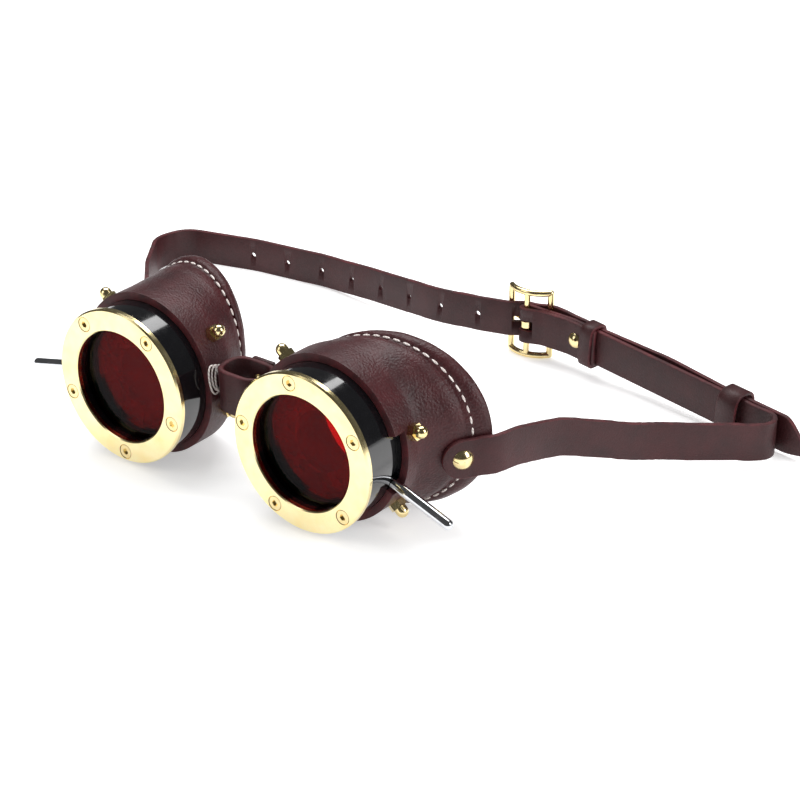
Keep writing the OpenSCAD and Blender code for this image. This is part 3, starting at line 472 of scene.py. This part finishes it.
def pathPiece(name, paths, tree, values, cyclic):
    points, edges = [], []
    for path in paths:
        first = len(points)
        points += [Vector(p) * mm for p in path]
        edges += [(first + i, first + i + 1) for i in range(len(path) - 1)]
        if cyclic:
            edges.append((len(points) - 1, first))
    mesh = bpy.data.meshes.new(name)
    mesh.from_pydata(points, edges, [])
    piece = bpy.data.objects.new(name, mesh)
    bpy.context.collection.objects.link(piece)
    modifier = piece.modifiers.new("nodes", "NODES")
    modifier.node_group = tree
    sockets = {s.name: s.identifier for s in tree.interface.items_tree if s.in_out == "INPUT"}
    for label, value in values.items():
        modifier[sockets[label]] = value
    return applyModifiers(piece)


stitchesAlongSeam = stitchTree()
threadAlongPath = threadTree()


def rimStitches(side, name):
    path = [rimPoint(side, cup["seamFromRim"], a, stitch["above"] - cup["seamDepth"] * 0.3)
            for a in range(0, 360, 2)]
    length = sum((path[i] - path[i - 1]).length for i in range(len(path)))
    return pathPiece(name, [path], stitchesAlongSeam, {
        "Count": round(length / stitch["pitch"]), "Length": stitch["length"] * mm,
        "Thickness": stitch["thickness"] * mm, "Thread": waxedThread}, True)


for side, label in ((1, "right"), (-1, "left")):
    shell = leatherCup(side, label + "CupShell")
    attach(shell, "goggles")
    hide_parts(label + "_cup")
    roll = rimBinding(side, label + "RimRoll")
    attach(roll, "goggles")
    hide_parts(label + "_rim_binding")
    row = rimStitches(side, label + "RimStitches")
    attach(row, "goggles")


# ---- straps

print("straps")

strap = {
    "width": 15.0, "thickness": 1.8, "bindingThickness": 1.2, "rivetHeight": 27.0, "rivetAt": 0.57,
    "kneeAt": 0.72, "corner": 0.4,
    "barAt": (24.0, 166.0), "barHeading": 8.0, "barDiameter": 2.4, "wire": 2.6, "bow": 3.65,
    "halfBuckle": 8.7, "bottomAtBuckle": 7.7, "halfWidth": 158.2, "flapEnd": 14.0,
    "runFrom": (44.0, 168.6), "runTo": (140.0, 153.4), "runFromHeight": 7.1, "runToHeight": 1.8,
    "holeDiameter": 2.4, "holePitch": 18.0, "holes": 8, "prongSlotStretch": 2.3,
    "foldSlot": {"from": (-5.0, -5.0), "size": (8.6, 10.0, 4.4)},
    "tip": {"length": 0.7, "lowRise": 0.12, "highDrop": 0.78, "curve": 1.6},  # shares of the width
    "seatStretch": 1.2,  # a cup's side lies at a slant, so its wall is thicker measured level
}


def flat(p):
    return Vector((p[0], p[1]))


def turned(v, degrees):
    a = math.radians(degrees)
    return Vector((v[0] * math.cos(a) - v[1] * math.sin(a), v[0] * math.sin(a) + v[1] * math.cos(a)))


def atBar(x, y):
    return flat(strap["barAt"]) + turned((x, y), strap["barHeading"])


runStart, runStop = flat(strap["runFrom"]), flat(strap["runTo"])
runLength = (runStop - runStart).length
runDirection = (runStop - runStart).normalized()
runSide = Vector((-runDirection[1], runDirection[0]))


def onRun(s, off):
    return runStart + runDirection * s + runSide * off


def runHeight(s):
    return mix(strap["runFromHeight"], strap["runToHeight"], s / runLength)


def stop(p, height, radius):
    return (p[0], p[1], height, radius)


foldRadius = strap["barDiameter"] / 2 + 0.1 + strap["thickness"] / 2
layer = strap["thickness"] / 2 + 0.05
tailOff = strap["thickness"] + 0.4
tongueOver = foldRadius + strap["thickness"] + 0.3
tailOver = strap["bow"] + strap["wire"] / 2 + 0.4 + strap["thickness"] / 2
tongueUnder = strap["bow"] - strap["wire"] / 2 - 0.45 - strap["thickness"] / 2
strapLift = (strap["thickness"] / 2 + 0.7) * strap["seatStretch"]
rivetAngle = math.degrees(math.asin((strap["rivetHeight"] - lens["z"] - cup["rimLift"] * strap["rivetAt"])
                          / mix(cup["collarRadius"], cup["rimHeight"] / 2, strap["rivetAt"])))
rivetBottom = strap["rivetHeight"] - strap["width"] / 2


def straightCupPoint(side, u, off):
    a = math.radians(rivetAngle)
    radius = mix(cup["collarRadius"], cup["rimWidth"][side] / 2, u) + off
    back = rimDepth(side, a)
    return (lens["x"] + cup["rimShift"][side] * u + radius * math.cos(a),
            cup["collarEnd"] + u * (back - cup["collarEnd"]))


def strapStart(side):
    seat = straightCupPoint(side, strap["rivetAt"], strapLift)
    knee = straightCupPoint(side, strap["kneeAt"], strapLift)
    clear = strap["bindingThickness"] + strap["thickness"] / 2 + 1.5
    rim = straightCupPoint(side, 1, clear * strap["seatStretch"])
    return [(side * p[0], p[1]) for p in (seat, knee, rim)]


seat, knee, rim = strapStart(1)
b = strap["bottomAtBuckle"]
rightRoute = [
    stop(seat, rivetBottom, 0), stop(knee, rivetBottom, 8), stop(rim, rivetBottom + 2.2, 12),
    (98, 74, 18.3, 40), (117, 108, 7.6, 60),
    stop(onRun(runLength + 13, 0), 1, 7),
    stop(onRun(0, 0), strap["runFromHeight"], 15),
    stop(atBar(7, layer), b, 10), stop(atBar(1.2, foldRadius), b, 3),
    stop(atBar(-foldRadius, foldRadius), b, foldRadius * 0.97),
    stop(atBar(-foldRadius, -foldRadius), b, foldRadius * 0.97),
    stop(atBar(1.2, -foldRadius), b, 3), stop(atBar(7, -layer), b, 10),
    stop(onRun(0, -2 * layer), strap["runFromHeight"], 13),
    stop(onRun(strap["flapEnd"], -2 * layer), runHeight(strap["flapEnd"]), 0),
]
seat, knee, rim = strapStart(-1)
tipLength = strap["width"] * strap["tip"]["length"]
tailEnd = (strap["halfWidth"] - onRun(0, tailOff)[0]) / runDirection[0] - tipLength
leftRoute = [
    stop(seat, rivetBottom, 0), stop(knee, rivetBottom, 8), stop(rim, rivetBottom - 1.5, 12),
    (-101, 76, 14, 40), (-136, 113, 4, 60), (-158.4, 142, 0, 16), (-155, 158, 0, 11),
    (-121, 167.3, 0, 60), (-85, 171.5, 0.2, 60), (-58, 168.5, 2.4, 60), (-18, 161, 6.5, 60),
    (3, 162.6, b, 20),
    stop(atBar(-strap["halfBuckle"], tongueUnder), b, 8), stop(atBar(-2.6, tongueOver), b, 5),
    stop(atBar(2.6, tongueOver), b, 8), stop(atBar(strap["halfBuckle"], tailOver), b, 8),
    stop(onRun(4, tailOff + 0.9), runHeight(4), 14), stop(onRun(14, tailOff), runHeight(14), 40),
    stop(onRun(45, tailOff + 2.0), runHeight(45), 70), stop(onRun(78, tailOff), runHeight(78), 60),
    stop(onRun(tailEnd, tailOff), runHeight(tailEnd), 0),
]


def bend(a, b, c, stepDegrees):
    inward = (flat(b) - flat(a)).normalized()
    outgoing = (flat(c) - flat(b)).normalized()
    turn = math.degrees(math.atan2(inward[0] * outgoing[1] - inward[1] * outgoing[0], inward.dot(outgoing)))
    if abs(turn) < 0.02:
        return [Vector(b[:3])]
    reach = b[3] * math.tan(math.radians(abs(turn) / 2))
    hand = math.copysign(1, turn)
    hub = flat(b) - inward * reach + hand * b[3] * Vector((-inward[1], inward[0]))
    spoke = hand * b[3] * Vector((inward[1], -inward[0]))
    heightIn = mix(b[2], a[2], reach / (flat(a) - flat(b)).length)
    heightOut = mix(b[2], c[2], reach / (flat(c) - flat(b)).length)
    steps = max(1, math.ceil(abs(turn) / stepDegrees))
    line = []
    for i in range(steps + 1):
        p = hub + turned(spoke, turn * i / steps)
        line.append(Vector((p[0], p[1], mix(heightIn, heightOut, i / steps))))
    return line


def routeLine(route, stepDegrees=3.0, gap=2.5):
    corners = [Vector(route[0][:3])]
    for i in range(1, len(route) - 1):
        corners += bend(route[i - 1], route[i], route[i + 1], stepDegrees)
    corners.append(Vector(route[-1][:3]))
    line = [corners[0]]
    for p in corners[1:]:
        length = (flat(p) - flat(line[-1])).length
        if length < 0.02:
            continue
        steps = max(1, math.ceil(length / gap))
        start = line[-1].copy()
        line += [start.lerp(p, i / steps) for i in range(1, steps + 1)]
    return line


def easeHeights(line, reach=9.0):
    # A strap bends slowly edgewise, so its height is averaged over the stretch on both sides
    lengths = [0.0]
    for i in range(1, len(line)):
        lengths.append(lengths[-1] + (flat(line[i]) - flat(line[i - 1])).length)
    eased = []
    for i, p in enumerate(line):
        room = min(reach, lengths[i], lengths[-1] - lengths[i])
        near = [line[j][2] for j in range(len(line)) if abs(lengths[j] - lengths[i]) <= room + 1e-9]
        eased.append(Vector((p[0], p[1], sum(near) / len(near))))
    return eased, lengths


def strapSection(low, high, thickness, corner):
    # Round-cornered section, as [across, height]; the first and last quarter are the cut edges
    c = min(corner, (high - low) / 2 - 0.01, thickness / 2 - 0.05)
    half = thickness / 2
    section = []
    for cx, cz, start in ((half - c, high - c, 0), (-half + c, high - c, 90), (-half + c, low + c, 180),
                          (half - c, low + c, 270)):
        for k in range(4):
            a = math.radians(start + 30 * k)
            section.append((cx + c * math.cos(a), cz + c * math.sin(a)))
    return section


def ribbon(name, stations, thickness, materials):
    # stations: (point, low, high); the faces on top and underneath are cut edges
    points, faces, marks = [], [], []
    flatPoints = [flat(s[0]) for s in stations]
    count = 0
    for i, (p, low, high) in enumerate(stations):
        ahead = (flatPoints[min(i + 1, len(stations) - 1)] - flatPoints[max(i - 1, 0)]).normalized()
        across = Vector((-ahead[1], ahead[0]))
        section = strapSection(low, high, thickness, strap["corner"])
        count = len(section)
        for x, z in section:
            q = flatPoints[i] + across * x
            points.append(Vector((q[0], q[1] + lens["front"], z)))
    for i in range(len(stations) - 1):
        for j in range(count):
            k = (j + 1) % count
            faces.append([i * count + j, i * count + k, (i + 1) * count + k, (i + 1) * count + j])
            marks.append(0 if j in (7, 15) else 1)
    faces.append(list(range(count))[::-1])
    faces.append([(len(stations) - 1) * count + j for j in range(count)])
    marks += [1, 1]
    piece = meshPiece(name, points, faces, materials, marks)
    return outward(piece)


def endStations(p, direction, low, high, leading):
    stations = []
    steps = [math.radians(a) for a in range(9, 90, 9)]
    middle, half = (low + high) / 2, (high - low) / 2
    for a in steps if leading else steps[::-1]:
        q = flat(p) + (-direction if leading else direction) * half * math.cos(a)
        stations.append((q, middle - half * math.sin(a), middle + half * math.sin(a)))
    return stations


def strapStations(route):
    line, lengths = easeHeights(routeLine(route))
    return line, lengths, [(p, p[2], p[2] + strap["width"]) for p in line]


def cutWith(piece, cutters):
    for cutter in cutters:
        modifier = piece.modifiers.new("cut", "BOOLEAN")
        modifier.operation = "DIFFERENCE"
        modifier.solver = "EXACT"
        modifier.object = cutter
    applyModifiers(piece)
    for cutter in cutters:
        mesh = cutter.data
        bpy.data.objects.remove(cutter)
        bpy.data.meshes.remove(mesh)
    return piece


def roundCutter(name, centre, direction, diameter, stretch=0.0):
    # A round punch through a strap, drawn out to a slot along the strap where stretch is above 0
    along = unit((direction[0], direction[1], 0))
    through = Vector((-along[1], along[0], 0))
    points, faces = [], []
    count = 32
    for depth in (-3.0, 3.0):
        for k in range(count):
            a = 2 * math.pi * k / count
            x = diameter / 2 * math.cos(a)
            x += math.copysign(stretch, x) if abs(x) > 1e-9 else 0
            q = Vector(centre) + along * x + Vector((0, 0, diameter / 2 * math.sin(a))) + through * depth
            points.append(Vector((q[0], q[1] + lens["front"], q[2])))
    faces = [[k, (k + 1) % count, count + (k + 1) % count, count + k] for k in range(count)]
    faces += [list(range(count))[::-1], list(range(count, 2 * count))]
    return outward(meshPiece(name, points, faces, [cutLeather], smooth=False))


def leftStrap():
    line, lengths, body = strapStations(leftRoute)
    start = (flat(leftRoute[1]) - flat(leftRoute[0])).normalized()
    low = leftRoute[0][2]
    stations = endStations(line[0], start, low, low + strap["width"], True) + body
    low = line[-1][2]
    tip = strap["tip"]
    for k in [i / 10 for i in range(1, 11)]:
        q = flat(line[-1]) + runDirection * tipLength * k
        drop = k ** tip["curve"]
        stations.append((q, low + strap["width"] * drop * tip["lowRise"],
                         low + strap["width"] * (1 - drop * tip["highDrop"])))
    piece = ribbon("leftStrapLeather", stations, strap["thickness"], [strapLeather, cutLeather])
    reach = strap["halfBuckle"] * 0.75
    nearBar = next(i for i, p in enumerate(line) if (flat(p) - flat(strap["barAt"])).length < reach)
    prongAt = lengths[nearBar] + 1.2

    def spot(s):
        i = max(j for j in range(len(line) - 1) if lengths[j] <= s)
        t = (s - lengths[i]) / (lengths[i + 1] - lengths[i])
        p = line[i].lerp(line[i + 1], t)
        return (p[0], p[1], p[2] + strap["width"] / 2), line[i + 1] - line[i]

    cutters = [roundCutter("punch", *spot(prongAt - (i + 1) * strap["holePitch"]), strap["holeDiameter"])
               for i in range(strap["holes"])]
    cutters.append(roundCutter("prongSlot", *spot(prongAt), strap["holeDiameter"],
                               strap["prongSlotStretch"]))
    return cutWith(piece, cutters)


def rightStrap():
    line, lengths, body = strapStations(rightRoute)
    start = (flat(rightRoute[1]) - flat(rightRoute[0])).normalized()
    low = rightRoute[0][2]
    stations = endStations(line[0], start, low, low + strap["width"], True) + body
    piece = ribbon("rightStrapLeather", stations, strap["thickness"], [strapLeather, cutLeather])
    (fromX, fromY), (sizeX, sizeY, sizeZ) = strap["foldSlot"]["from"], strap["foldSlot"]["size"]
    centreHeight = strap["bottomAtBuckle"] + strap["width"] / 2
    corners = []
    for x in (fromX, fromX + sizeX):
        for y in (fromY, fromY + sizeY):
            for z in (-sizeZ / 2, sizeZ / 2):
                q = atBar(x, y)
                corners.append(Vector((q[0], q[1] + lens["front"], centreHeight + z)))
    faces = [[0, 1, 3, 2], [4, 6, 7, 5], [0, 4, 5, 1], [2, 3, 7, 6], [0, 2, 6, 4], [1, 5, 7, 3]]
    cutter = outward(meshPiece("foldSlot", corners, faces, [cutLeather], smooth=False))
    return cutWith(piece, [cutter])


rightLeather = rightStrap()
leftLeather = leftStrap()
for piece, node in ((rightLeather, "right_strap"), (leftLeather, "left_strap")):
    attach(piece, "goggles")
    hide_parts(node)


# ---- keepers

print("keepers")

keeper = {
    "thickness": 1.4,
    "fixed": {"at": 10.6, "length": 6.0, "low": -2 * layer - 0.9, "high": tailOff + 0.9 + 0.6, "air": 0.25,
              "edge": 0.35, "bulge": 0.35},
    "sliding": {"at": 82.0, "length": 9.0, "low": -0.9, "high": tailOff + 0.9, "air": 1.2, "edge": 0.7,
                "bulge": 1.6},
}


def keeperLoop(name, size):
    wall = keeper["thickness"]
    halfY = (size["high"] - size["low"]) / 2 + size["air"] + wall / 2
    halfZ = strap["width"] / 2 + size["edge"] + wall / 2
    centreOff = (size["high"] + size["low"]) / 2
    slope = math.atan2(strap["runFromHeight"] - strap["runToHeight"], runLength)
    along = Vector((runDirection[0] * math.cos(slope), runDirection[1] * math.cos(slope), -math.sin(slope)))
    side = Vector((runSide[0], runSide[1], 0))
    up = along.cross(side)
    middle = onRun(size["at"], centreOff)
    centre = Vector((middle[0], middle[1] + lens["front"], runHeight(size["at"]) + strap["width"] / 2))
    around, points, faces, marks = 96, [], [], []
    halfLength = size["length"] / 2
    section = [(-halfLength, -wall / 2 + 0.3), (-halfLength, wall / 2 - 0.3), (-halfLength + 0.3, wall / 2),
               (halfLength - 0.3, wall / 2), (halfLength, wall / 2 - 0.3), (halfLength, -wall / 2 + 0.3),
               (halfLength - 0.3, -wall / 2), (-halfLength + 0.3, -wall / 2)]
    power = 2 / 4.5
    for i in range(around):
        a = 2 * math.pi * i / around
        c, s = math.cos(a), math.sin(a)
        y = halfY * math.copysign(abs(c) ** power, c)
        z = halfZ * math.copysign(abs(s) ** power, s)
        y += size["bulge"] * c * (1 - abs(s) ** 3)
        normal = (side * (c / halfY) * abs(c) ** (1 / power - 1) + up * (s / halfZ)).normalized()
        for x, r in section:
            points.append(centre + along * x + side * y + up * z + normal * r)
    count = len(section)
    for i in range(around):
        for j in range(count):
            k, m = (i + 1) % around, (j + 1) % count
            faces.append([i * count + j, i * count + m, k * count + m, k * count + j])
            marks.append(1 if j in (0, 1, 3, 4, 5, 7) else 0)
    return outward(meshPiece(name, points, faces, [strapLeather, cutLeather], marks))


for label, body in (("fixed", "goggles"), ("sliding", "sliding_keeper")):
    loop = keeperLoop(label + "KeeperLoop", keeper[label])
    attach(loop, body)
    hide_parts(label + "_keeper")


# ---- nose bridge and its lacing

print("nose bridge")

bridge = {"height": 16.0, "depth": 17.0, "leather": 2.0, "y": 22.0, "z": lens["z"] + 4.0,
          "halfGap": lens["x"] - cup["collarRadius"] - 0.3, "thread": 0.34}


def bridgeLoop():
    radius = bridge["depth"] / 2
    straight = bridge["halfGap"] - radius
    around, points, faces, marks = 120, [], [], []
    half, wall = bridge["height"] / 2, bridge["leather"]
    c = 0.45
    section = [(0, -half + c), (0, half - c), (-c, half), (-wall + c, half), (-wall, half - c),
               (-wall, -half + c), (-wall + c, -half), (-c, -half)]
    for i in range(around):
        a = 2 * math.pi * i / around
        direction = Vector((math.cos(a), math.sin(a), 0))
        wave = 0.35 * math.sin(3 * a + 0.6)
        for inset, z in section:
            lean = 0.5 * math.sin(2 * a) * (z / half)
            r = radius + inset + lean * 0.4
            x = math.copysign(straight, direction[0]) if abs(direction[0]) > 1e-6 else 0
            points.append(Vector((x + direction[0] * r, bridge["y"] + lens["front"] + direction[1] * r,
                                  bridge["z"] + z + (wave if z > 0 else wave * 0.3))))
    count = len(section)
    for i in range(around):
        for j in range(count):
            k, m = (i + 1) % around, (j + 1) % count
            faces.append([i * count + j, i * count + m, k * count + m, k * count + j])
            marks.append(1 if j in (1, 2, 3, 5, 6, 7) else 0)
    loop = outward(meshPiece("bridgeLoopLeather", points, faces, [strapLeather, cutLeather], marks))
    tab = []
    for x in (-5, 5):
        for y in (radius - 0.01, radius + wall):
            for z in (-half + 0.3, half - 0.3):
                tab.append(Vector((x, bridge["y"] + lens["front"] + y, bridge["z"] + z)))
    tabFaces = [[0, 1, 3, 2], [4, 6, 7, 5], [0, 4, 5, 1], [2, 3, 7, 6], [0, 2, 6, 4], [1, 5, 7, 3]]
    flap = outward(meshPiece("bridgeOverlap", tab, tabFaces, [strapLeather], smooth=True))
    soften = flap.modifiers.new("soften", "BEVEL")
    soften.width, soften.segments = 0.6 * mm, 3
    applyModifiers(flap)
    return loop, flap


def lacing(side):
    # Three loops of thread tie each end of the bridge to the front edge of its cup
    loops = []
    for n, (turn, lean, tall) in enumerate(((169.5, 0.0, 5.4), (169, 0.9, 4.6), (170.5, 1.5, 4.8))):
        points = []
        for i in range(40):
            a = 2 * math.pi * i / 40
            u = mix(-1.06, -0.62, 0.5 - 0.5 * math.cos(a)) + 0.12 * n
            high = turn + lean * math.cos(a) + tall * 1.8 * math.sin(a)
            points.append(cupPoint(side, u, high, 0.45))
        loops.append(points)
    return loops


loop, flap = bridgeLoop()
for piece in (loop, flap):
    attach(piece, "goggles")
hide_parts("nose_bridge")
for side, label in ((1, "right"), (-1, "left")):
    lace = pathPiece(label + "BridgeLacing", lacing(side), threadAlongPath,
                     {"Radius": bridge["thread"] * mm, "Thread": waxedThread}, True)
    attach(lace, "goggles")


# ---- floor, light and camera

print("floor, light and camera")

studio = {
    "floorGlow": 0.42, "floorLight": "#f0f0f0", "floorDark": "#efefef", "floorReach": 6.0,
    "world": 0.5, "worldMirrored": 0.08, "target": (0, 0, 0.02),
    # name: [place, width, height, watts]
    "softboxes": {
        "softboxAbove": ((-0.25, 0.25, 0.9), 0.9, 0.6, 9.0),
        "softboxFront": ((-0.5, -0.9, 0.55), 0.5, 0.8, 2.5),
        "softboxRight": ((0.9, 0.1, 0.5), 0.4, 0.6, 5.0),
    },
}
photograph = {"lens": 97.5, "sensor": 36, "place": (466.3, -499.9, 383.1), "looks": (-0.5407, 0.7103, -0.4507)}


def studioFloor():
    mesh = bpy.data.meshes.new("studioFloor")
    size = studio["floorReach"]
    corners = [(-size, -size, 0), (size, -size, 0), (size, size, 0), (-size, size, 0)]
    mesh.from_pydata(corners, [], [(0, 1, 2, 3)])
    floor = bpy.data.objects.new("studioFloor", mesh)
    bpy.context.collection.objects.link(floor)
    material, tree = newMaterial("paperSweep")
    place = addNode(tree, "ShaderNodeTexCoord").outputs["Object"]
    tooth = addNode(tree, "ShaderNodeTexNoise", {"Vector": place, "Scale": 400.0})
    colour = addNode(tree, "ShaderNodeMix", {0: tooth.outputs["Fac"], 6: hexColour(studio["floorDark"]),
                     7: hexColour(studio["floorLight"])}, data_type="RGBA")
    paper = addNode(tree, "ShaderNodeBsdfDiffuse", {"Color": colour.outputs[2]})
    rays = addNode(tree, "ShaderNodeLightPath").outputs
    seen = rays["Is Camera Ray"]
    for kind in ("Is Glossy Ray", "Is Transmission Ray"):
        seen = addNode(tree, "ShaderNodeMath", {0: seen, 1: rays[kind]}, operation="MAXIMUM").outputs["Value"]
    glow = addNode(tree, "ShaderNodeMath", {0: seen, 1: studio["floorGlow"]}, operation="MULTIPLY")
    light = addNode(tree, "ShaderNodeEmission", {"Color": (1, 1, 1, 1), "Strength": glow.outputs["Value"]})
    both = addNode(tree, "ShaderNodeAddShader", {0: paper.outputs["BSDF"], 1: light.outputs["Emission"]})
    finishMaterial(tree, both.outputs["Shader"])
    mesh.materials.append(material)


def areaLight(name, place, width, height, watts):
    data = bpy.data.lights.new(name, "AREA")
    data.shape = "RECTANGLE"
    data.size, data.size_y, data.energy = width, height, watts
    lamp = bpy.data.objects.new(name, data)
    bpy.context.collection.objects.link(lamp)
    lamp.location = place
    lamp.rotation_euler = (Vector(studio["target"]) - Vector(place)).to_track_quat("-Z", "Y").to_euler()


studioFloor()
world = bpy.data.worlds.new("studioAir")
bpy.context.scene.world = world
world.use_nodes = True
world.node_tree.nodes.clear()
rays = addNode(world.node_tree, "ShaderNodeLightPath").outputs
mirrored = addNode(world.node_tree, "ShaderNodeMapRange", {"Value": rays["Is Glossy Ray"],
                   "To Min": studio["world"], "To Max": studio["worldMirrored"]})
level = addNode(world.node_tree, "ShaderNodeMapRange", {"Value": rays["Is Camera Ray"],
                "To Min": mirrored.outputs["Result"], "To Max": 1.0})
air = addNode(world.node_tree, "ShaderNodeBackground", {"Color": (1, 1, 1, 1),
              "Strength": level.outputs["Result"]})
addNode(world.node_tree, "ShaderNodeOutputWorld", {"Surface": air.outputs["Background"]})

for name, light in studio["softboxes"].items():
    areaLight(name, *light)

cameraData = bpy.data.cameras.new("photographCamera")
cameraData.lens, cameraData.sensor_width = photograph["lens"], photograph["sensor"]
cameraData.clip_end = 20
camera = bpy.data.objects.new("photographCamera", cameraData)
bpy.context.collection.objects.link(camera)
camera.location = (Vector(photograph["place"]) + Vector((0, lens["front"], 0))) * mm
camera.rotation_euler = Vector(photograph["looks"]).to_track_quat("-Z", "Y").to_euler()
scene = bpy.context.scene
scene.camera = camera
scene.view_settings.view_transform = "Standard"
